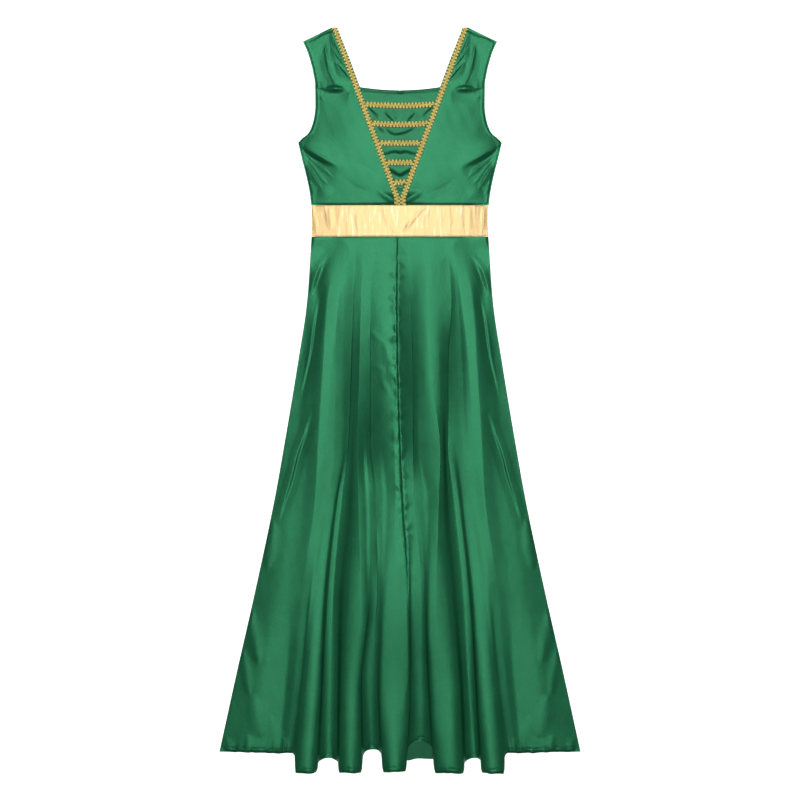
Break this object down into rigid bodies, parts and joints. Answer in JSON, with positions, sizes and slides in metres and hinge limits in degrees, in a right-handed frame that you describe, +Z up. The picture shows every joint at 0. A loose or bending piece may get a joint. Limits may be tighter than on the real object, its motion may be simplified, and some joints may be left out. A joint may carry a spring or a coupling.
{
  "type": "liturgical dance dress",
  "caption": "Sleeveless floor-length dance dress with a braided V panel, a gold waistband and a flared, softly fluted skirt, laid out flat on its back.",
  "frame": {"origin": "on the surface that the dress lies on, under the middle of its length and width", "axes": "+Y runs from the hem to the shoulders, +Z up from the surface through the front, +X to the right as seen from above the front"},
  "size_m": [0.686, 1.4144, 0.0297],
  "materials": {
    "satin": "satin",
    "gold_cloth": "metallic satin",
    "braid": "metallic braid"
  },
  "bodies": {
    "root": {"bodice_front_left": "satin", "bodice_front_right": "satin", "bodice_inset": "satin", "bodice_back": "satin", "skirt_front_left": "satin", "skirt_front_right": "satin", "skirt_back": "satin", "waistband_front": "gold_cloth", "waistband_back": "gold_cloth", "braid_v_left": "braid", "braid_v_right": "braid", "braid_bar_1": "braid", "braid_bar_2": "braid", "braid_bar_3": "braid", "braid_bar_4": "braid", "braid_bar_5": "braid"}
  },
  "joints": []
}
